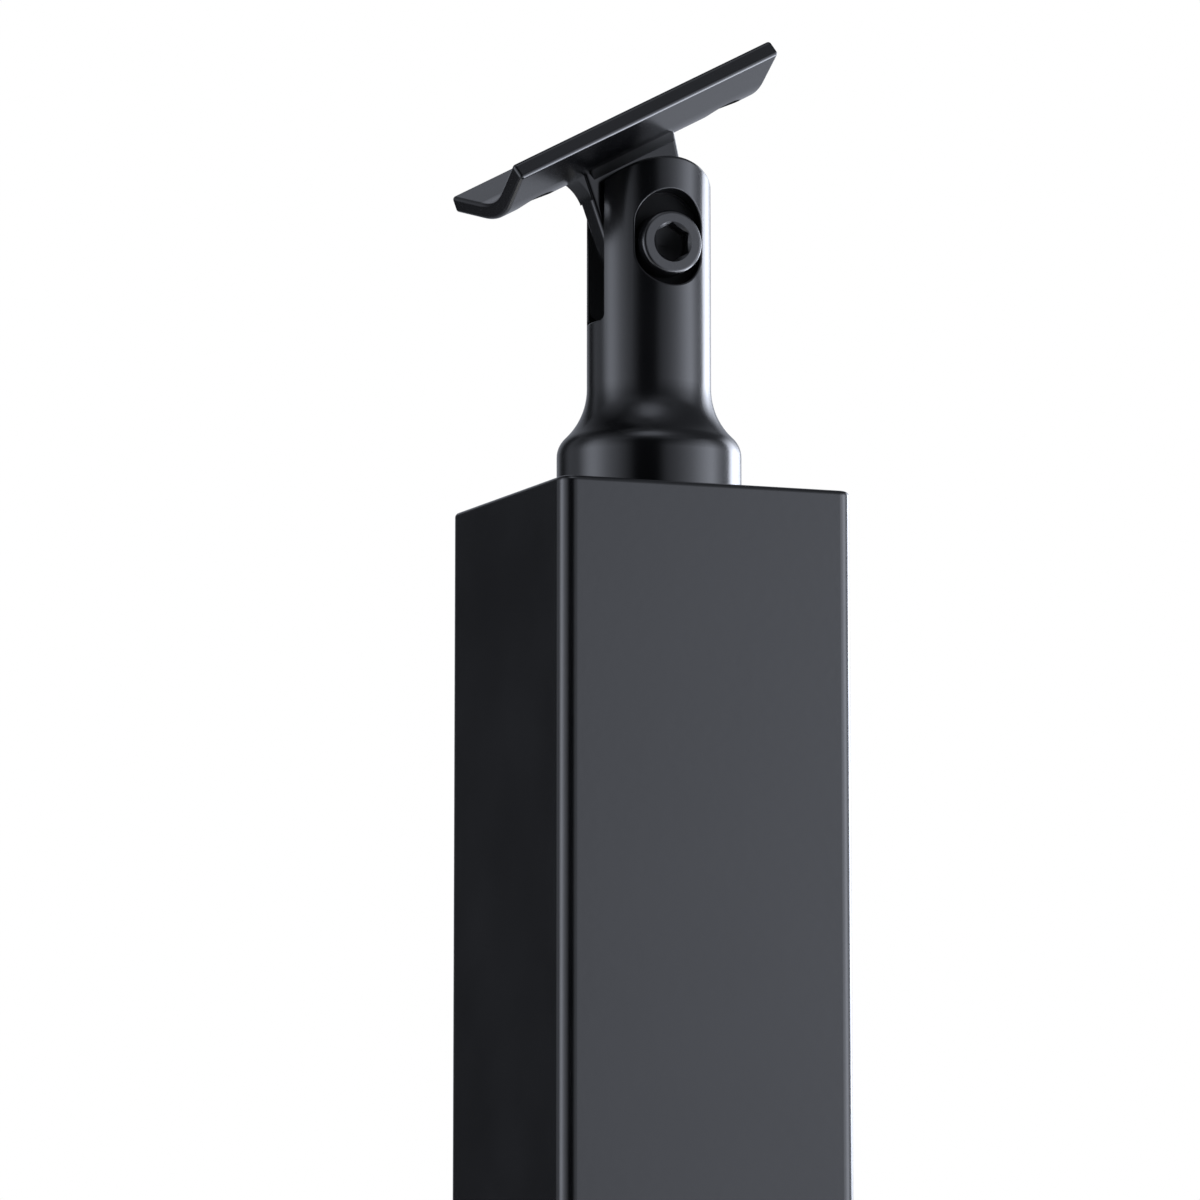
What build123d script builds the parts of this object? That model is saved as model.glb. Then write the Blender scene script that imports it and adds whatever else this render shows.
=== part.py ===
from build123d import *
import os
from math import acos, atan2, cos, degrees, radians, sin, tan

# Cable railing post with a tilting handrail saddle, in millimetres.
# +X is the uphill end of the saddle, -Y the side with the screw head, Z is up,
# and the origin is under the middle of the base plate.

# Post tube and the plates welded to its ends
post_height = 850.0
post_side = 50.0
post_wall = 2.0
post_corner = 2.5
post_inner_corner = 0.6
top_plate_thickness = 3.0
top_edge_round = 0.8
base_side = 100.0
base_thickness = 6.0
base_corner = 8.0
base_edge_round = 1.0
anchor_spacing = 76.0
anchor_hole = 11.0
foot_weld_leg = 4.0

# Swivel stem: collar, flare and slotted neck
collar_diameter = 30.0
collar_straight = 7.3
shoulder_radius = 4.0
flare_radius = 11.5
collar_foot_round = 0.5
neck_diameter = 20.2
pivot_height = 41.2
dome_radius = 14.2
dome_rim_round = 0.5
slot_floor = 29.0
slot_corner = 1.0
slot_edge_round = 0.3
recess_width = 11.2
recess_length = 15.6
recess_lift = 0.9
recess_rim_round = 0.3

# Stud that holds the stem, and the nut it screws into
stud_diameter = 10.0
stud_reach = 18.0
stud_tail = 2.0
stud_point = 1.0
nut_flats = 17.0
nut_height = 8.0

# Pivot screw with a socket head
screw_diameter = 6.0
head_diameter = 10.4
head_height = 4.6
head_round = 0.6
socket_flats = 5.6
socket_depth = 3.0
socket_lead = 0.5
socket_drill_angle = 120.0
screw_point = 0.8
screw_end_gap = 0.8

# Tongue, washers and saddle plate, measured from the pivot along and across the saddle
rest_tilt = 28.4
tongue_thickness = 5.0
tongue_eye_radius = 7.8
tongue_root_low = -5.4
tongue_root_high = 13.0
tongue_edge_round = 0.8
washer_thickness = 0.9
washer_diameter = 14.0
near_cheek_wall = 2.2
saddle_rise = 15.7
saddle_length = 51.0
saddle_width = 29.6
saddle_thickness = 2.8
saddle_shift = 4.3
saddle_slope = 18.5
saddle_bend = 15.0
saddle_edge_round = 0.6
rail_hole = 7.0
rail_hole_spacing = 37.6
saddle_weld_leg = 1.2
saddle_weld_hollow = 0.4
end_weld_leg = 2.2
end_weld_climb = 5.0
end_weld_hollow = 0.5

# Clearances
running_clearance = 0.05
thread_clearance = 0.03
hole_clearance = 0.2

os.makedirs("parts", exist_ok=True)

# Sizes that follow from the ones above
collar_radius = collar_diameter / 2
neck_radius = neck_diameter / 2
slot_width = tongue_thickness + 2 * washer_thickness
recess_floor = slot_width / 2 + near_cheek_wall
pivot_z = post_height + pivot_height
stem_top = pivot_z + dome_radius
tilt = radians(rest_tilt)

# Planes of the saddle: side on, across its length, and flat on it, all through the pivot
pivot = Vector(0, 0, pivot_z)
along = Vector(cos(tilt), 0, sin(tilt))
square = Vector(-sin(tilt), 0, cos(tilt))
side_plane = Plane(origin=pivot, x_dir=along, z_dir=(0, -1, 0))
section_plane = Plane(origin=pivot, x_dir=(0, 1, 0), z_dir=along)
seat_plane = Plane(origin=pivot, x_dir=along, z_dir=square)
saddle_low_end = saddle_shift - saddle_length / 2
underside_bend = saddle_bend + saddle_thickness

# Base plate with four anchor holes
with BuildPart() as base_plate:
    with BuildSketch():
        RectangleRounded(base_side, base_side, base_corner)
        with GridLocations(anchor_spacing, anchor_spacing, 2, 2):
            Circle(anchor_hole / 2, mode=Mode.SUBTRACT)
    extrude(amount=base_thickness)
    top_rim = base_plate.faces().sort_by(Axis.Z)[-1].outer_wire().edges()
    fillet(top_rim, base_edge_round)
base_plate.part.label = "base_plate"
export_step(base_plate.part, "parts/base_plate.step")

# Square tube between the base plate and the top plate
tube_length = post_height - base_thickness - top_plate_thickness
post_inside = post_side - 2 * post_wall
with BuildPart() as post_tube:
    with BuildSketch(Plane.XY.offset(base_thickness)):
        RectangleRounded(post_side, post_side, post_corner)
        RectangleRounded(post_inside, post_inside, post_inner_corner, mode=Mode.SUBTRACT)
    extrude(amount=tube_length)
post_tube.part.label = "post_tube"
export_step(post_tube.part, "parts/post_tube.step")

# Weld fillet round the foot of the tube
weld_foot_side = post_side + 2 * foot_weld_leg
with BuildPart() as foot_weld:
    with BuildSketch(Plane.XY.offset(base_thickness)):
        RectangleRounded(weld_foot_side, weld_foot_side, post_corner + foot_weld_leg)
    extrude(amount=foot_weld_leg, taper=45)
    with BuildSketch(Plane.XY.offset(base_thickness)):
        RectangleRounded(post_side, post_side, post_corner)
    extrude(amount=2 * foot_weld_leg, mode=Mode.SUBTRACT)
foot_weld.part.label = "foot_weld"
export_step(foot_weld.part, "parts/foot_weld.step")

# Top plate, welded flush on the tube and ground smooth
stud_hole_radius = stud_diameter / 2 + hole_clearance
with BuildPart() as top_plate:
    with BuildSketch(Plane.XY.offset(post_height - top_plate_thickness)):
        RectangleRounded(post_side, post_side, post_corner)
        Circle(stud_hole_radius, mode=Mode.SUBTRACT)
    extrude(amount=top_plate_thickness)
    top_rim = top_plate.faces().sort_by(Axis.Z)[-1].outer_wire().edges()
    fillet(top_rim, top_edge_round)
top_plate.part.label = "top_plate"
export_step(top_plate.part, "parts/top_plate.step")

# Nut welded under the top plate
nut_bottom = post_height - top_plate_thickness - nut_height
with BuildPart() as weld_nut:
    with BuildSketch(Plane.XY.offset(nut_bottom)):
        RegularPolygon(nut_flats / 2, 6, major_radius=False)
        Circle(stud_diameter / 2 + thread_clearance, mode=Mode.SUBTRACT)
    extrude(amount=nut_height)
weld_nut.part.label = "weld_nut"
export_step(weld_nut.part, "parts/weld_nut.step")

# Stud from the nut up into the stem
stud_bottom = nut_bottom - stud_tail
stud_top = post_height + stud_reach
with BuildPart() as stem_stud:
    with BuildSketch(Plane.XY.offset(stud_bottom)):
        Circle(stud_diameter / 2)
    extrude(amount=stud_top - stud_bottom)
    chamfer(stem_stud.edges().filter_by(GeomType.CIRCLE), stud_point)
stem_stud.part.label = "stem_stud"
export_step(stem_stud.part, "parts/stem_stud.step")

# Swivel stem, turned from bar: collar, rounded shoulder, flare and neck
flare_angle = degrees(acos(1 - (collar_radius - neck_radius) / (shoulder_radius + flare_radius)))
with BuildPart() as swivel_stem:
    with BuildSketch(Plane.XZ):
        with BuildLine():
            foot = Line((0, post_height), (collar_radius, post_height))
            wall = Line(foot @ 1, (collar_radius, post_height + collar_straight))
            shoulder = JernArc(wall @ 1, wall % 1, shoulder_radius, flare_angle)
            flare = JernArc(shoulder @ 1, shoulder % 1, flare_radius, -flare_angle)
            Polyline(flare @ 1, (neck_radius, stem_top), (0, stem_top), foot @ 0)
        make_face()
    revolve(axis=Axis.Z)
    fillet(swivel_stem.edges().group_by(Axis.Z)[0], collar_foot_round)

    # Dome about the pivot, so that the saddle clears the stem at every tilt
    with BuildSketch(Plane.XZ):
        with Locations((0, pivot_z)):
            Circle(dome_radius)
        with Locations((0, post_height)):
            Rectangle(2 * collar_diameter, pivot_height, align=(Align.CENTER, Align.MIN))
    extrude(amount=collar_diameter, both=True, mode=Mode.INTERSECT)
    fillet(swivel_stem.faces().sort_by(Axis.Z)[-1].edges(), dome_rim_round)

    # Slot for the tongue, open at the top and on both sides
    with BuildSketch(Plane.YZ) as slot:
        with Locations((0, post_height + slot_floor)):
            Rectangle(slot_width, 2 * dome_radius + pivot_height, align=(Align.CENTER, Align.MIN))
        fillet(slot.vertices().group_by(Axis.Z)[0], slot_corner)
    extrude(amount=collar_diameter, both=True, mode=Mode.SUBTRACT)
    fillet(swivel_stem.edges(Select.NEW), slot_edge_round)

    # Recess for the screw head, a short upright slot in the near cheek
    with BuildSketch(Plane.XZ.offset(recess_floor)):
        with Locations((0, pivot_z + recess_lift)):
            SlotOverall(recess_length, recess_width, rotation=90)
    extrude(amount=neck_radius, mode=Mode.SUBTRACT)
    fillet(swivel_stem.edges(Select.NEW), recess_rim_round)

    # Screw hole, plain in the near cheek and threaded in the far one
    with BuildSketch(Plane.XZ):
        with Locations((0, pivot_z)):
            Circle(screw_diameter / 2 + hole_clearance)
    extrude(amount=neck_radius, mode=Mode.SUBTRACT)
    with BuildSketch(Plane.XZ):
        with Locations((0, pivot_z)):
            Circle(screw_diameter / 2 + thread_clearance)
    extrude(amount=-neck_radius, mode=Mode.SUBTRACT)

    # Bore for the stud, with room above its end
    with BuildSketch(Plane.XY.offset(post_height)):
        Circle(stud_diameter / 2 + running_clearance)
    extrude(amount=stud_reach + stud_point, mode=Mode.SUBTRACT)
swivel_stem.part.label = "swivel_stem"
export_step(swivel_stem.part, "parts/swivel_stem.step")

# Pivot screw: head in the recess, shank through the tongue into the far cheek
with BuildPart() as pivot_screw:
    with BuildSketch(Plane.XZ.offset(recess_floor)):
        with Locations((0, pivot_z)):
            Circle(head_diameter / 2)
    extrude(amount=head_height)
    fillet(pivot_screw.faces().sort_by(Axis.Y)[0].edges(), head_round)
    with BuildSketch(Plane.XZ.offset(recess_floor)):
        with Locations((0, pivot_z)):
            Circle(screw_diameter / 2)
    extrude(amount=-(recess_floor + neck_radius - screw_end_gap))
    chamfer(pivot_screw.faces().sort_by(Axis.Y)[-1].edges(), screw_point)
    head_face = Plane.XZ.offset(recess_floor + head_height)
    with BuildSketch(head_face):
        with Locations((0, pivot_z)):
            RegularPolygon(socket_flats / 2, 6, major_radius=False, rotation=30)
    extrude(amount=-socket_depth, mode=Mode.SUBTRACT)
    with BuildSketch(head_face):
        with Locations((0, pivot_z)):
            Circle(socket_flats / 2 + socket_lead)
    extrude(amount=-socket_lead, taper=45, mode=Mode.SUBTRACT)
    drill_point = socket_flats / 2 / tan(radians(socket_drill_angle / 2))
    with Locations(head_face.offset(-socket_depth - drill_point / 2).location):
        with Locations((0, pivot_z)):
            Cone(0, socket_flats / 2, drill_point, mode=Mode.SUBTRACT)
pivot_screw.part.label = "pivot_screw"
export_step(pivot_screw.part, "parts/pivot_screw.step")

# Two washers that fill the slot beside the tongue
with BuildPart() as friction_washers:
    for face in (tongue_thickness / 2, -slot_width / 2):
        with BuildSketch(Plane.XZ.offset(face)):
            with Locations((0, pivot_z)):
                Circle(washer_diameter / 2)
                Circle(screw_diameter / 2 + hole_clearance, mode=Mode.SUBTRACT)
        extrude(amount=washer_thickness)
friction_washers.part.label = "friction_washers"
export_step(friction_washers.part, "parts/friction_washers.step")

# Tongue: an eye round the screw, widening to its root, which follows the plate's bend
root_cover = tongue_thickness / 5
root_reach = saddle_rise + root_cover
bend_centre = saddle_rise + underside_bend
with BuildPart() as saddle_tongue:
    with BuildSketch(side_plane):
        with BuildLine():
            CenterArc((0, 0), tongue_eye_radius, 0, 360)
            Line((tongue_root_low, root_reach), (tongue_root_high, root_reach))
        make_hull()
    extrude(amount=tongue_thickness / 2, both=True)
    outline = saddle_tongue.faces().filter_by(Axis.Y).edges().sort_by(Axis(pivot, square))
    fillet(outline[:-2], tongue_edge_round)
    with BuildSketch(side_plane):
        Circle(screw_diameter / 2 + running_clearance)
    extrude(amount=tongue_thickness, both=True, mode=Mode.SUBTRACT)
    with BuildSketch(section_plane):
        with Locations((0, bend_centre)):
            Circle(underside_bend)
    extrude(amount=saddle_length, both=True, mode=Mode.SUBTRACT)
saddle_tongue.part.label = "saddle_tongue"
export_step(saddle_tongue.part, "parts/saddle_tongue.step")

# Weld fillets along both sides of the tongue's root and on its low end
weld_length = tongue_root_high - tongue_root_low - 2 * saddle_weld_leg
root_corner = Vector(tongue_root_low, root_reach)
eye_bearing = atan2(root_corner.Y, root_corner.X) + acos(tongue_eye_radius / root_corner.length)
eye_tangent = Vector(cos(eye_bearing), sin(eye_bearing)) * tongue_eye_radius
low_edge = (eye_tangent - root_corner).normalized()
with BuildPart() as saddle_welds:
    with BuildSketch(section_plane.offset(tongue_root_low + saddle_weld_leg)):
        with BuildLine():
            root = Vector(tongue_thickness / 2, root_reach)
            climb = Line(root, root - Vector(0, saddle_weld_leg + root_cover))
            run = Line(root, root + Vector(saddle_weld_leg + root_cover, 0))
            SagittaArc(climb @ 1, run @ 1, saddle_weld_hollow)
        make_face()
        mirror(about=Plane.YZ)
    extrude(amount=weld_length)
    with BuildSketch(side_plane):
        with BuildLine():
            plate_leg = Line(root_corner, root_corner - Vector(end_weld_leg, 0))
            tongue_leg = Line(root_corner, root_corner + low_edge * end_weld_climb)
            SagittaArc(plate_leg @ 1, tongue_leg @ 1, end_weld_hollow)
        make_face()
    extrude(amount=tongue_thickness / 2, both=True)
    with BuildSketch(section_plane):
        with Locations((0, bend_centre)):
            Circle(underside_bend)
    extrude(amount=saddle_length, both=True, mode=Mode.SUBTRACT)
saddle_welds.part.label = "saddle_welds"
export_step(saddle_welds.part, "parts/saddle_welds.step")

# Saddle plate: a shallow trough, two straight sides and a round bend, with two rail holes
half_width = saddle_width / 2
bend_lift = underside_bend * (1 / cos(radians(saddle_slope)) - 1)
fold_line = saddle_rise - bend_lift
flange_rise = half_width * tan(radians(saddle_slope))
with BuildPart() as saddle_plate:
    with BuildSketch(section_plane.offset(saddle_low_end)):
        with BuildLine():
            underside = FilletPolyline(
                (-half_width, fold_line + flange_rise),
                (0, fold_line),
                (half_width, fold_line + flange_rise),
                radius=underside_bend,
            )
            offset(underside, amount=saddle_thickness, side=Side.LEFT)
        make_face()
    extrude(amount=saddle_length)
    fillet(saddle_plate.edges(), saddle_edge_round)
    with BuildSketch(seat_plane):
        with Locations((saddle_shift, 0)):
            with GridLocations(rail_hole_spacing, 1, 2, 1):
                Circle(rail_hole / 2)
    extrude(amount=saddle_rise + saddle_width, mode=Mode.SUBTRACT)
saddle_plate.part.label = "saddle_plate"
export_step(saddle_plate.part, "parts/saddle_plate.step")
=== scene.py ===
from math import cos, radians, sin

import bmesh
import bpy
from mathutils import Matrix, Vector


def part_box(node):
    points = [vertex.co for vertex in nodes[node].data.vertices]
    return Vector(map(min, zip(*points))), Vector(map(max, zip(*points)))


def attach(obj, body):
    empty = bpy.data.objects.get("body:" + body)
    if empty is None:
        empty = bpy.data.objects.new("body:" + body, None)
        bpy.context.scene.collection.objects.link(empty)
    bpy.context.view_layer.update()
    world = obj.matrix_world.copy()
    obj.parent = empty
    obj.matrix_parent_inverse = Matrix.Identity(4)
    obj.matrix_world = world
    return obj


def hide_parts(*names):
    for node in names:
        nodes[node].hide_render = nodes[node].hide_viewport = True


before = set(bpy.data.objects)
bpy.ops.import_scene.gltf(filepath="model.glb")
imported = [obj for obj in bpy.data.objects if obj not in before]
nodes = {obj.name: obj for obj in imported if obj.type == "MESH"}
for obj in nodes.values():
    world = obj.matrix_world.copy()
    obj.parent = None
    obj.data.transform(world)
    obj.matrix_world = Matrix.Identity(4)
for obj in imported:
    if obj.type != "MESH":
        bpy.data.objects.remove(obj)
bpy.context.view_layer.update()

# Post tube: square steel tube, cut to length and powder coated satin black
# together with the plates and the weld at its ends.
# The coat is smooth, with a faint orange peel and a slightly uneven gloss.
post_coat_black = (0.0022, 0.0023, 0.0026)
post_coat_grey = (0.0032, 0.0033, 0.0037)
post_coat_ior = 1.57
post_gloss = (0.19, 0.23)
post_peel_size = 0.0016
post_peel_height = 0.000012


def add_node(tree, kind, place, **settings):
    node = tree.nodes.new(kind)
    node.location = place
    for name, value in settings.items():
        setattr(node, name, value)
    return node


def coat_material(name, dark, light, ior, gloss_range, peel_size, peel_height):
    cloud_scale = 45.0
    cloud_range = (0.3, 0.7)
    material = bpy.data.materials.new(name)
    material.use_nodes = True
    tree = material.node_tree
    tree.nodes.clear()
    link = tree.links.new
    out = add_node(tree, "ShaderNodeOutputMaterial", (600, 0))
    coat = add_node(tree, "ShaderNodeBsdfPrincipled", (300, 0))
    coat.inputs["IOR"].default_value = ior
    place = add_node(tree, "ShaderNodeTexCoord", (-900, 0))

    cloud = add_node(tree, "ShaderNodeTexNoise", (-650, 250))
    cloud.inputs["Scale"].default_value = cloud_scale
    cloud.inputs["Detail"].default_value = 3.0
    tint = add_node(tree, "ShaderNodeValToRGB", (-350, 350))
    for stop, position, colour in zip(tint.color_ramp.elements, cloud_range, (dark, light)):
        stop.position = position
        stop.color = (*colour, 1)
    gloss = add_node(tree, "ShaderNodeMapRange", (-350, 60))
    gloss.inputs["From Min"].default_value, gloss.inputs["From Max"].default_value = cloud_range
    gloss.inputs["To Min"].default_value, gloss.inputs["To Max"].default_value = gloss_range
    link(place.outputs["Object"], cloud.inputs["Vector"])
    link(cloud.outputs["Fac"], tint.inputs["Fac"])
    link(tint.outputs["Color"], coat.inputs["Base Color"])
    link(cloud.outputs["Fac"], gloss.inputs["Value"])
    link(gloss.outputs["Result"], coat.inputs["Roughness"])

    peel = add_node(tree, "ShaderNodeTexNoise", (-650, -250))
    peel.inputs["Scale"].default_value = 1 / peel_size
    peel.inputs["Detail"].default_value = 2.0
    bump = add_node(tree, "ShaderNodeBump", (-350, -250))
    bump.inputs["Distance"].default_value = peel_height
    link(place.outputs["Object"], peel.inputs["Vector"])
    link(peel.outputs["Fac"], bump.inputs["Height"])
    link(bump.outputs["Normal"], coat.inputs["Normal"])
    link(coat.outputs["BSDF"], out.inputs["Surface"])
    return material


def dress(node, material):
    mesh = nodes[node].data
    mesh.materials.clear()
    mesh.materials.append(material)


post_coat = coat_material(
    "post_coat", post_coat_black, post_coat_grey, post_coat_ior, post_gloss,
    post_peel_size, post_peel_height,
)
dress("post_tube", post_coat)

# Base plate: flame-cut steel plate with four anchor holes, welded under the tube
# and powder coated with it.
dress("base_plate", post_coat)

# Foot weld: a rippled bead laid round the foot of the tube in one pass, coated over with
# the post. Each ripple is a leaning disc, set out along the tube's rounded outline.
tube_low, tube_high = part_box("post_tube")
weld_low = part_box("foot_weld")[0]
tube_corner = 0.0025
bead_offset = 0.0008
bead_radius = 0.0026
ripple_spacing = 0.0013
ripple_half_length = 0.0020
ripple_lean = radians(32)
ripple_sizes = (0.93, 1.0)
ripple_seed = 5
bead_path_side = tube_high.x - tube_low.x + 2 * bead_offset


def weld_tree():
    tree = bpy.data.node_groups.new("rippled_weld", "GeometryNodeTree")
    for name in (
        "Path Side", "Path Corner", "Path Height", "Bead Radius",
        "Ripple Spacing", "Ripple Half Length", "Ripple Lean",
    ):
        tree.interface.new_socket(name, in_out="INPUT", socket_type="NodeSocketFloat")
    tree.interface.new_socket("Coat", in_out="INPUT", socket_type="NodeSocketMaterial")
    tree.interface.new_socket("Geometry", in_out="OUTPUT", socket_type="NodeSocketGeometry")
    link = tree.links.new
    given = add_node(tree, "NodeGroupInput", (-1200, 0))
    outline = add_node(tree, "GeometryNodeCurvePrimitiveQuadrilateral", (-950, 200))
    link(given.outputs["Path Side"], outline.inputs["Width"])
    link(given.outputs["Path Side"], outline.inputs["Height"])
    corners = add_node(tree, "GeometryNodeFilletCurve", (-750, 200), mode="POLY")
    corners.inputs["Count"].default_value = 6
    corners.inputs["Limit Radius"].default_value = True
    link(outline.outputs["Curve"], corners.inputs["Curve"])
    link(given.outputs["Path Corner"], corners.inputs["Radius"])
    raised = add_node(tree, "ShaderNodeCombineXYZ", (-750, 0))
    link(given.outputs["Path Height"], raised.inputs["Z"])
    route = add_node(tree, "GeometryNodeTransform", (-550, 200))
    link(corners.outputs["Curve"], route.inputs["Geometry"])
    link(raised.outputs["Vector"], route.inputs["Translation"])
    stops = add_node(tree, "GeometryNodeCurveToPoints", (-350, 200), mode="LENGTH")
    link(route.outputs["Geometry"], stops.inputs["Curve"])
    link(given.outputs["Ripple Spacing"], stops.inputs["Length"])

    disc = add_node(tree, "GeometryNodeMeshUVSphere", (-550, -250))
    disc.inputs["Segments"].default_value = 20
    disc.inputs["Rings"].default_value = 12
    disc.inputs["Radius"].default_value = 1.0
    soft = add_node(tree, "GeometryNodeSetShadeSmooth", (-350, -250))
    link(disc.outputs["Mesh"], soft.inputs["Geometry"])

    size = add_node(tree, "ShaderNodeCombineXYZ", (-350, -450))
    link(given.outputs["Bead Radius"], size.inputs["X"])
    link(given.outputs["Bead Radius"], size.inputs["Y"])
    link(given.outputs["Ripple Half Length"], size.inputs["Z"])
    uneven = add_node(tree, "FunctionNodeRandomValue", (-350, -650), data_type="FLOAT")
    uneven.inputs["Min"].default_value, uneven.inputs["Max"].default_value = ripple_sizes
    uneven.inputs["Seed"].default_value = ripple_seed
    scaled = add_node(tree, "ShaderNodeVectorMath", (-150, -450), operation="SCALE")
    link(size.outputs["Vector"], scaled.inputs[0])
    link(uneven.outputs["Value"], scaled.inputs["Scale"])

    ripples = add_node(tree, "GeometryNodeInstanceOnPoints", (50, 200))
    link(stops.outputs["Points"], ripples.inputs["Points"])
    link(soft.outputs["Geometry"], ripples.inputs["Instance"])
    link(stops.outputs["Rotation"], ripples.inputs["Rotation"])
    link(scaled.outputs["Vector"], ripples.inputs["Scale"])
    lean = add_node(tree, "ShaderNodeCombineXYZ", (50, -150))
    link(given.outputs["Ripple Lean"], lean.inputs["X"])
    leaning = add_node(tree, "GeometryNodeRotateInstances", (250, 200))
    link(ripples.outputs["Instances"], leaning.inputs["Instances"])
    link(lean.outputs["Vector"], leaning.inputs["Rotation"])
    whole = add_node(tree, "GeometryNodeRealizeInstances", (450, 200))
    link(leaning.outputs["Instances"], whole.inputs["Geometry"])
    coated = add_node(tree, "GeometryNodeSetMaterial", (650, 200))
    link(whole.outputs["Geometry"], coated.inputs["Geometry"])
    link(given.outputs["Coat"], coated.inputs["Material"])
    out = add_node(tree, "NodeGroupOutput", (850, 200))
    link(coated.outputs["Geometry"], out.inputs["Geometry"])
    return tree


def baked(name, tree, values):
    holder = bpy.data.objects.new(name + "_maker", bpy.data.meshes.new(name + "_maker"))
    bpy.context.scene.collection.objects.link(holder)
    maker = holder.modifiers.new("maker", "NODES")
    maker.node_group = tree
    for socket in tree.interface.items_tree:
        if socket.in_out == "INPUT":
            maker[socket.identifier] = values[socket.name]
    seen = holder.evaluated_get(bpy.context.evaluated_depsgraph_get())
    mesh = bpy.data.meshes.new_from_object(seen)
    bpy.data.objects.remove(holder)
    piece = bpy.data.objects.new(name, mesh)
    bpy.context.scene.collection.objects.link(piece)
    return piece


weld_bead = baked("foot_weld_bead", weld_tree(), {
    "Path Side": bead_path_side,
    "Path Corner": tube_corner + bead_offset,
    "Path Height": weld_low.z + bead_offset,
    "Bead Radius": bead_radius,
    "Ripple Spacing": ripple_spacing,
    "Ripple Half Length": ripple_half_length,
    "Ripple Lean": ripple_lean,
    "Coat": post_coat,
})
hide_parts("foot_weld")
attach(weld_bead, "post")

# Top plate: steel plate welded flush on the tube's end, ground smooth
# and powder coated with it.
dress("top_plate", post_coat)

# Weld nut: zinc-plated steel nut, welded under the top plate before the tube was closed.
# It is hidden inside the post.
zinc_dark = (0.42, 0.42, 0.41)
zinc_light = (0.58, 0.58, 0.56)
zinc_gloss = (0.28, 0.42)
spangle_scale = 900.0


def zinc_material(name):
    material = bpy.data.materials.new(name)
    material.use_nodes = True
    tree = material.node_tree
    link = tree.links.new
    metal = tree.nodes["Principled BSDF"]
    metal.inputs["Metallic"].default_value = 1.0
    place = add_node(tree, "ShaderNodeTexCoord", (-900, 0))
    spangle = add_node(tree, "ShaderNodeTexVoronoi", (-650, 0))
    spangle.inputs["Scale"].default_value = spangle_scale
    tint = add_node(tree, "ShaderNodeValToRGB", (-350, 200))
    tint.color_ramp.elements[0].color = (*zinc_dark, 1)
    tint.color_ramp.elements[1].color = (*zinc_light, 1)
    gloss = add_node(tree, "ShaderNodeMapRange", (-350, -60))
    gloss.inputs["To Min"].default_value, gloss.inputs["To Max"].default_value = zinc_gloss
    link(place.outputs["Object"], spangle.inputs["Vector"])
    link(spangle.outputs["Distance"], tint.inputs["Fac"])
    link(spangle.outputs["Distance"], gloss.inputs["Value"])
    link(tint.outputs["Color"], metal.inputs["Base Color"])
    link(gloss.outputs["Result"], metal.inputs["Roughness"])
    return material


zinc_steel = zinc_material("zinc_steel")
dress("weld_nut", zinc_steel)

# Stem stud: zinc-plated threaded rod, screwed into the weld nut.
# The stem turns on it and hides it.
dress("stem_stud", zinc_steel)

# Swivel stem: turned from steel bar, slotted and recessed, then powder coated
# in a smoother satin black than the post.
# In the slot and on the recess's floor the powder lies thin, so the stem is dull there.
fitting_black = (0.0020, 0.0021, 0.0024)
fitting_grey = (0.0030, 0.0031, 0.0034)
fitting_ior = 1.5
fitting_gloss = (0.19, 0.23)
fitting_peel_size = 0.0011
fitting_peel_height = 0.000003
pivot_place = (0, 0, 0.8912)
screw_axis = (0, 1, 0)
# Each pair says where a dull patch starts to fade and where it ends, from or along an axis
neck_inside = (0.0094, 0.0098)
dome_inside = (0.0134, 0.0138)
recess_floor = (0.0062, 0.0068)
dull_roughness = 0.9


def fitting_material(name):
    return coat_material(
        name, fitting_black, fitting_grey, fitting_ior, fitting_gloss, fitting_peel_size, fitting_peel_height
    )


def fade_mask(tree, measured, fade, spot):
    mask = add_node(tree, "ShaderNodeMapRange", spot)
    mask.inputs["From Min"].default_value, mask.inputs["From Max"].default_value = fade
    mask.inputs["To Min"].default_value, mask.inputs["To Max"].default_value = 1.0, 0.0
    tree.links.new(measured, mask.inputs["Value"])
    return mask.outputs["Result"]


def line_mask(tree, point, axis, fade, spot):
    away = add_node(tree, "ShaderNodeVectorMath", spot, operation="SUBTRACT")
    away.inputs[1].default_value = point
    across = add_node(tree, "ShaderNodeVectorMath", (spot[0] + 180, spot[1]), operation="CROSS_PRODUCT")
    across.inputs[1].default_value = axis
    distance = add_node(tree, "ShaderNodeVectorMath", (spot[0] + 360, spot[1]), operation="LENGTH")
    tree.links.new(tree.nodes["Texture Coordinate"].outputs["Object"], away.inputs[0])
    tree.links.new(away.outputs["Vector"], across.inputs[0])
    tree.links.new(across.outputs["Vector"], distance.inputs[0])
    return fade_mask(tree, distance.outputs["Value"], fade, (spot[0] + 540, spot[1]))


def depth_mask(tree, axis, fade, spot):
    depth = add_node(tree, "ShaderNodeVectorMath", spot, operation="DOT_PRODUCT")
    depth.inputs[1].default_value = axis
    tree.links.new(tree.nodes["Texture Coordinate"].outputs["Object"], depth.inputs[0])
    return fade_mask(tree, depth.outputs["Value"], fade, (spot[0] + 540, spot[1]))


def dull_inside(tree, masks, joined_by="MULTIPLY"):
    inside = masks[0]
    for number, mask in enumerate(masks[1:]):
        joined = add_node(tree, "ShaderNodeMath", (-500, -700 - 200 * number), operation=joined_by)
        tree.links.new(inside, joined.inputs[0])
        tree.links.new(mask, joined.inputs[1])
        inside = joined.outputs["Value"]
    roughness = tree.nodes["Principled BSDF"].inputs["Roughness"]
    dulled = add_node(tree, "ShaderNodeMix", (0, 60), data_type="FLOAT")
    dulled.inputs["B"].default_value = dull_roughness
    tree.links.new(inside, dulled.inputs["Factor"])
    tree.links.new(roughness.links[0].from_socket, dulled.inputs["A"])
    tree.links.new(dulled.outputs["Result"], roughness)


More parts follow.
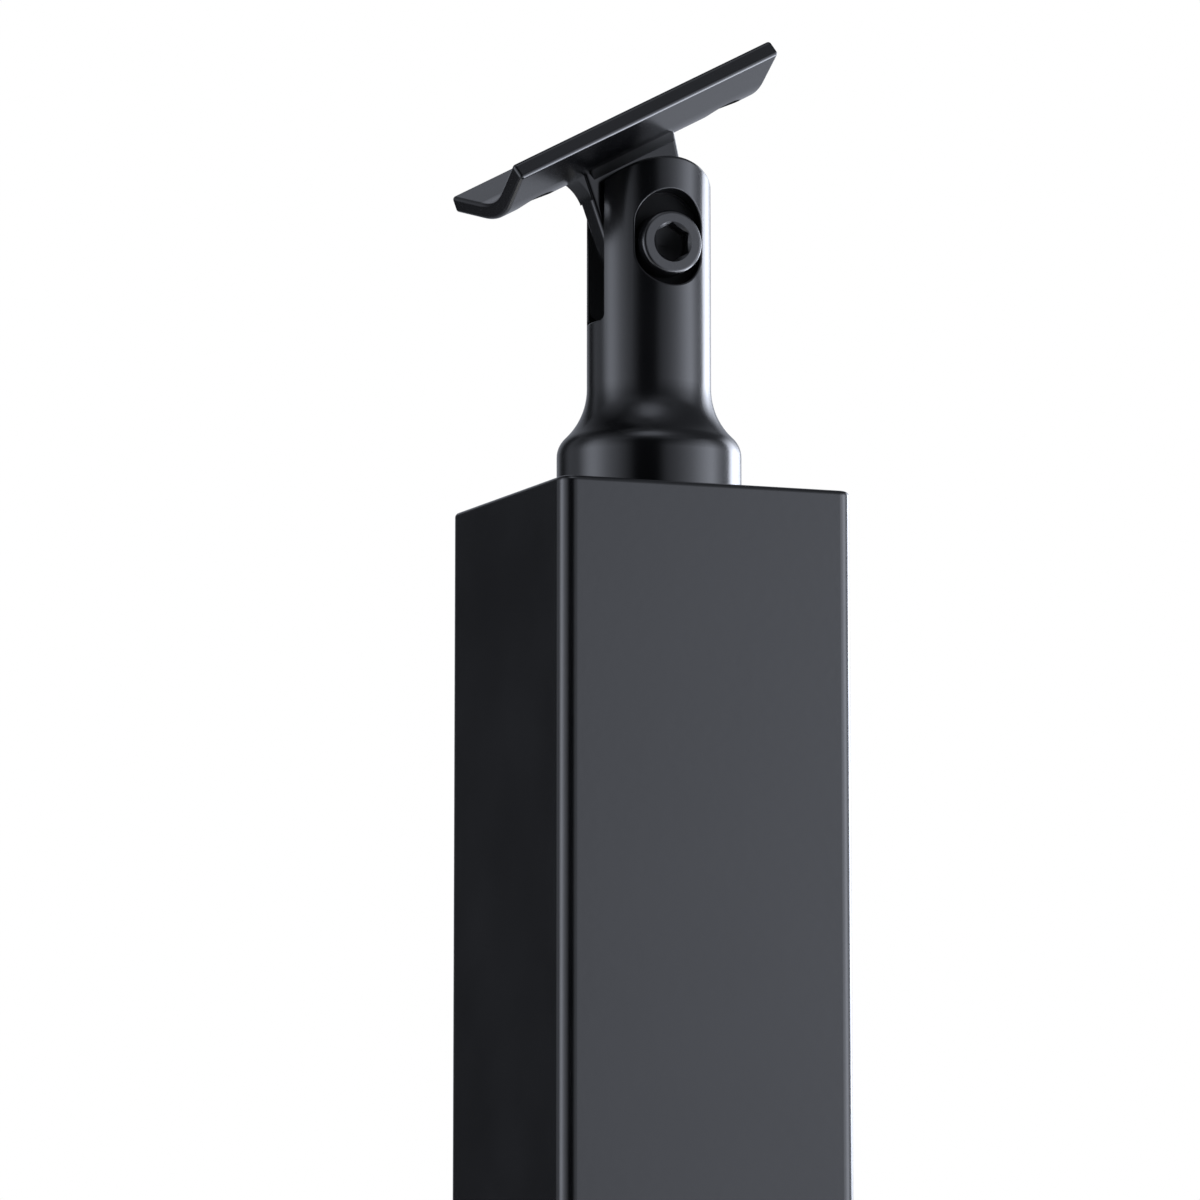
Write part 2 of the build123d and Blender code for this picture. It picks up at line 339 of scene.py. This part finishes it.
stem_coat = fitting_material("stem_coat")
tree = stem_coat.node_tree
dull_inside(tree, (
    line_mask(tree, (0, 0, 0), (0, 0, 1), neck_inside, (-1500, -600)),
    line_mask(tree, pivot_place, screw_axis, dome_inside, (-1500, -800)),
    depth_mask(tree, (0, -1, 0), recess_floor, (-1500, -1000)),
))
dress("swivel_stem", stem_coat)

# Friction washers: punched from black nylon sheet, one on each side of the tongue.
# They fill the slot and are clamped by the pivot screw.
nylon_black = (0.006, 0.006, 0.0065)
nylon_grey = (0.010, 0.010, 0.0105)
nylon_ior = 1.5
nylon_gloss = (0.48, 0.58)
nylon_grain_size = 0.0006
nylon_grain_height = 0.00001
washer_nylon = coat_material(
    "nylon_black", nylon_black, nylon_grey, nylon_ior, nylon_gloss, nylon_grain_size, nylon_grain_height
)
dress("friction_washers", washer_nylon)

# Saddle tongue: flat steel bar with a rounded eye, held in the slot by the pivot screw.
# It is powder coated with the saddle plate.
dress("saddle_tongue", fitting_material("fitting_coat"))

# Pivot screw: socket head cap screw in black oxide, its head sunk in the stem's recess.
# The floor of its socket is left dull by the drill.
screw_dark = (0.0022, 0.0022, 0.0025)
screw_grey = (0.0036, 0.0036, 0.0040)
screw_ior = 1.65
screw_gloss = (0.22, 0.28)
screw_grain_size = 0.0005
screw_grain_height = 0.000004
socket_inside = (0.0032, 0.0033)
socket_floor = (0.0073, 0.0076)
screw_black = coat_material(
    "screw_black", screw_dark, screw_grey, screw_ior, screw_gloss, screw_grain_size, screw_grain_height
)
tree = screw_black.node_tree
dull_inside(tree, (
    line_mask(tree, pivot_place, screw_axis, socket_inside, (-1500, -600)),
    depth_mask(tree, (0, -1, 0), socket_floor, (-1500, -800)),
))
dress("pivot_screw", screw_black)

# Saddle plate: steel plate pressed into a shallow trough, drilled for two rail screws,
# welded to the tongue and powder coated with it. Inside the holes the coat is thin and dull.
rail_holes = ((-0.020888, 0, 0.899345), (0.012186, 0, 0.917229))
rail_hole_axis = (-0.475624, 0, 0.879649)
rail_hole_inside = (0.00355, 0.0037)
plate_coat = fitting_material("plate_coat")
tree = plate_coat.node_tree
dull_inside(tree, [
    line_mask(tree, hole, rail_hole_axis, rail_hole_inside, (-1500, -600 - 200 * number))
    for number, hole in enumerate(rail_holes)
], joined_by="MAXIMUM")
dress("saddle_plate", plate_coat)

# Saddle welds: fillets along both sides of the tongue and on its low end, coated over.
# The coat lies thin and dull on the two long ones, which start past the low end.
long_weld_axis = (-0.879649, 0, -0.475624)
long_weld_start = (-0.4189, -0.4185)
weld_coat = fitting_material("weld_coat")
tree = weld_coat.node_tree
dull_inside(tree, (depth_mask(tree, long_weld_axis, long_weld_start, (-1500, -600)),))
dress("saddle_welds", weld_coat)

# Studio: a pale floor, and a light tent with a softbox at the left and at the right, a strip
# light behind on the right, a lamp above the camera, a low board at the right that lights the
# lower edges, a grey roof and back, and a dark gap for the camera.
floor_colour = (0.78, 0.78, 0.78, 1)
floor_radius = 0.82
tent_centre = Vector((0, 0, 0.87))
tent_light = (0.90, 0.95, 1.08, 1)
camera_bearing = radians(-22.104)


def studio_direction(bearing, height):
    turn = camera_bearing + radians(bearing)
    lift = radians(height)
    return Vector((sin(turn) * cos(lift), -cos(turn) * cos(lift), sin(lift)))


def tent_panel(name, bearings, heights, reach, material, columns=32, rows=12):
    mesh = bpy.data.meshes.new(name)
    form = bmesh.new()
    spread = form.loops.layers.uv.new("panel")
    grid = []
    for row in range(rows + 1):
        height = heights[0] + (heights[1] - heights[0]) * row / rows
        line = []
        for column in range(columns + 1):
            bearing = bearings[0] + (bearings[1] - bearings[0]) * column / columns
            line.append(form.verts.new(tent_centre + studio_direction(bearing, height) * reach))
        grid.append(line)
    for row in range(rows):
        for column in range(columns):
            corners = ((row, column), (row, column + 1), (row + 1, column + 1), (row + 1, column))
            face = form.faces.new([grid[r][c] for r, c in corners])
            for loop, (r, c) in zip(face.loops, corners):
                loop[spread].uv = (c / columns, r / rows)
    form.to_mesh(mesh)
    form.free()
    mesh.materials.append(material)
    panel = bpy.data.objects.new(name, mesh)
    bpy.context.scene.collection.objects.link(panel)
    panel.visible_camera = False


def fade_curve(tree, place, fades, top):
    fade = add_node(tree, "ShaderNodeFloatCurve", place)
    curve = fade.mapping.curves[0]
    first, last = fades[0][0], fades[-1][0]
    for number, (at, value) in enumerate(fades):
        spot = ((at - first) / (last - first), value / top)
        if number in (0, len(fades) - 1):
            curve.points[0 if number == 0 else -1].location = spot
        else:
            curve.points.new(*spot)
    for point in curve.points:
        point.handle_type = "VECTOR"
    fade.mapping.update()
    return fade


def panel_light(name, across, up):
    material = bpy.data.materials.new(name)
    material.use_nodes = True
    tree = material.node_tree
    tree.nodes.clear()
    link = tree.links.new
    out = add_node(tree, "ShaderNodeOutputMaterial", (600, 0))
    glow = add_node(tree, "ShaderNodeEmission", (400, 0))
    glow.inputs["Color"].default_value = tent_light
    place = add_node(tree, "ShaderNodeTexCoord", (-600, 0))
    split = add_node(tree, "ShaderNodeSeparateXYZ", (-400, 0))
    strongest = max(strength for _, strength in across)
    across_fade = fade_curve(tree, (-200, 150), across, strongest)
    up_fade = fade_curve(tree, (-200, -150), up, 1.0)
    both = add_node(tree, "ShaderNodeMath", (100, 0), operation="MULTIPLY")
    scale = add_node(tree, "ShaderNodeMath", (250, 0), operation="MULTIPLY")
    scale.inputs[1].default_value = strongest
    link(place.outputs["UV"], split.inputs["Vector"])
    link(split.outputs["X"], across_fade.inputs["Value"])
    link(split.outputs["Y"], up_fade.inputs["Value"])
    link(across_fade.outputs["Value"], both.inputs[0])
    link(up_fade.outputs["Value"], both.inputs[1])
    link(both.outputs["Value"], scale.inputs[0])
    link(scale.outputs["Value"], glow.inputs["Strength"])
    link(glow.outputs["Emission"], out.inputs["Surface"])
    return material


def dull_material(name, colour):
    material = bpy.data.materials.new(name)
    material.use_nodes = True
    shader = material.node_tree.nodes["Principled BSDF"]
    shader.inputs["Base Color"].default_value = colour
    shader.inputs["Roughness"].default_value = 1.0
    shader.inputs["Specular IOR Level"].default_value = 0.0
    return material


floor_mesh = bpy.data.meshes.new("floor")
form = bmesh.new()
bmesh.ops.create_circle(form, cap_ends=True, segments=96, radius=floor_radius)
form.to_mesh(floor_mesh)
form.free()
floor_mesh.materials.append(dull_material("floor_pale", floor_colour))
floor = bpy.data.objects.new("floor", floor_mesh)
bpy.context.scene.collection.objects.link(floor)

# Panels of the tent, each with its strengths by bearing from the camera, + to the right,
# and how they fade with height
even = ((-40, 1.0), (36, 1.0))
left_fade = ((-40, 0.4), (-15, 0.9), (0, 1.0), (10, 1.0), (15, 0.87), (21, 0.66), (27, 0.56), (36, 0.36))
right_fade = ((-40, 0.4), (-15, 0.9), (0, 1.0), (10, 1.0), (15, 0.74), (21, 0.5), (27, 0.38), (36, 0.2))
tent_panels = {
    "camera_gap": (((-18, 0.01), (12, 0.01)), even, 1.30),
    "left_softbox": (
        ((-118, 0.5), (-97, 0.5), (-86, 2.2), (-78, 3.5), (-70, 3.3), (-53, 1.65), (-35, 0.8), (-18, 0.02)),
        left_fade, 1.30,
    ),
    "right_softbox": (
        ((12, 0.03), (22, 0.6), (35, 0.95), (53, 1.9), (73, 3.9), (84, 4.6), (96, 2.1), (106, 0.9),
         (119, 0.6)),
        right_fade, 1.30,
    ),
    "back_wall": (
        ((119, 0.6), (160, 0.6), (195, 0.4), (208, 0.35), (218, 0.03), (229, 0.04), (242, 0.5)),
        even, 1.36,
    ),
    "back_strip": (
        ((119, 9.5), (138, 10.0), (146, 4.0), (158, 3.0)),
        ((-9, 0.0), (-4, 1.0), (10, 1.0), (15, 0.68), (21, 0.48), (27, 0.24), (33, 0.05), (36, 0.0)), 1.30,
    ),
    "low_board": (
        ((40, 0.0), (50, 6.0), (80, 8.0), (125, 12.0), (138, 0.0)),
        ((-42, 0.6), (-38, 1.0), (-24, 1.0), (-15, 0.0)), 1.24,
    ),
    "left_board": (((-155, 0.2), (-115, 0.2)), ((-40, 1.0), (-13, 1.0), (-8, 0.0)), 1.24),
    "left_roof": (
        ((-180, 0.6), (-165, 0.6), (-145, 0.3), (-110, 0.22), (-90, 0.65), (-70, 0.9), (-30, 0.6),
         (-18, 0.3)),
        ((36, 1.0), (45, 0.6), (54, 0.3), (63, 0.12), (75, 0.12), (89, 0.6)), 1.40,
    ),
    "right_roof": (
        ((-18, 0.15), (0, 0.15), (28, 0.54), (50, 0.45), (70, 0.3), (90, 0.2), (130, 0.15), (150, 0.3),
         (180, 0.6)),
        ((36, 1.0), (89, 1.0)), 1.40,
    ),
    "top_lamp": (
        ((-48, 0.3), (-28, 0.8), (-12, 1.7), (12, 1.8), (30, 1.1), (48, 0.45)),
        ((46, 0.2), (54, 0.85), (60, 1.0), (69, 1.0), (78, 0.3)), 1.26,
    ),
}
for panel, (across, up, reach) in tent_panels.items():
    bearings, heights = (across[0][0], across[-1][0]), (up[0][0], up[-1][0])
    tent_panel(panel, bearings, heights, reach, panel_light(panel, across, up))

# World: white behind the part and in its reflections, and a soft white fill for all else.
fill_strength = 1.0
world = bpy.data.worlds.new("studio")
bpy.context.scene.world = world
world.use_nodes = True
tree = world.node_tree
tree.nodes.clear()
out = add_node(tree, "ShaderNodeOutputWorld", (600, 0))
seen = add_node(tree, "ShaderNodeBackground", (0, 100))
seen.inputs["Color"].default_value = (1, 1, 1, 1)
fill = add_node(tree, "ShaderNodeBackground", (0, -100))
fill.inputs["Color"].default_value = (1, 1, 1, 1)
fill.inputs["Strength"].default_value = fill_strength
path = add_node(tree, "ShaderNodeLightPath", (-600, 200))
first = add_node(tree, "ShaderNodeMath", (-400, 200), operation="MAXIMUM")
second = add_node(tree, "ShaderNodeMath", (-200, 200), operation="MAXIMUM")
mix = add_node(tree, "ShaderNodeMixShader", (300, 0))
tree.links.new(path.outputs["Is Camera Ray"], first.inputs[0])
tree.links.new(path.outputs["Is Glossy Ray"], first.inputs[1])
tree.links.new(first.outputs["Value"], second.inputs[0])
tree.links.new(path.outputs["Is Transmission Ray"], second.inputs[1])
tree.links.new(second.outputs["Value"], mix.inputs["Fac"])
tree.links.new(fill.outputs["Background"], mix.inputs[1])
tree.links.new(seen.outputs["Background"], mix.inputs[2])
tree.links.new(mix.outputs["Shader"], out.inputs["Surface"])

# Camera: below the post's top, in front and to the left, tipped a little upwards.
camera = bpy.data.objects.new("camera", bpy.data.cameras.new("camera"))
bpy.context.scene.collection.objects.link(camera)
bpy.context.scene.camera = camera
camera.data.lens = 148.34
camera.data.sensor_width = 36.0
camera.location = (-0.30626, -0.73295, 0.73897)
camera.rotation_euler = (radians(96.83), 0, camera_bearing)
bpy.context.scene.view_settings.view_transform = "Standard"
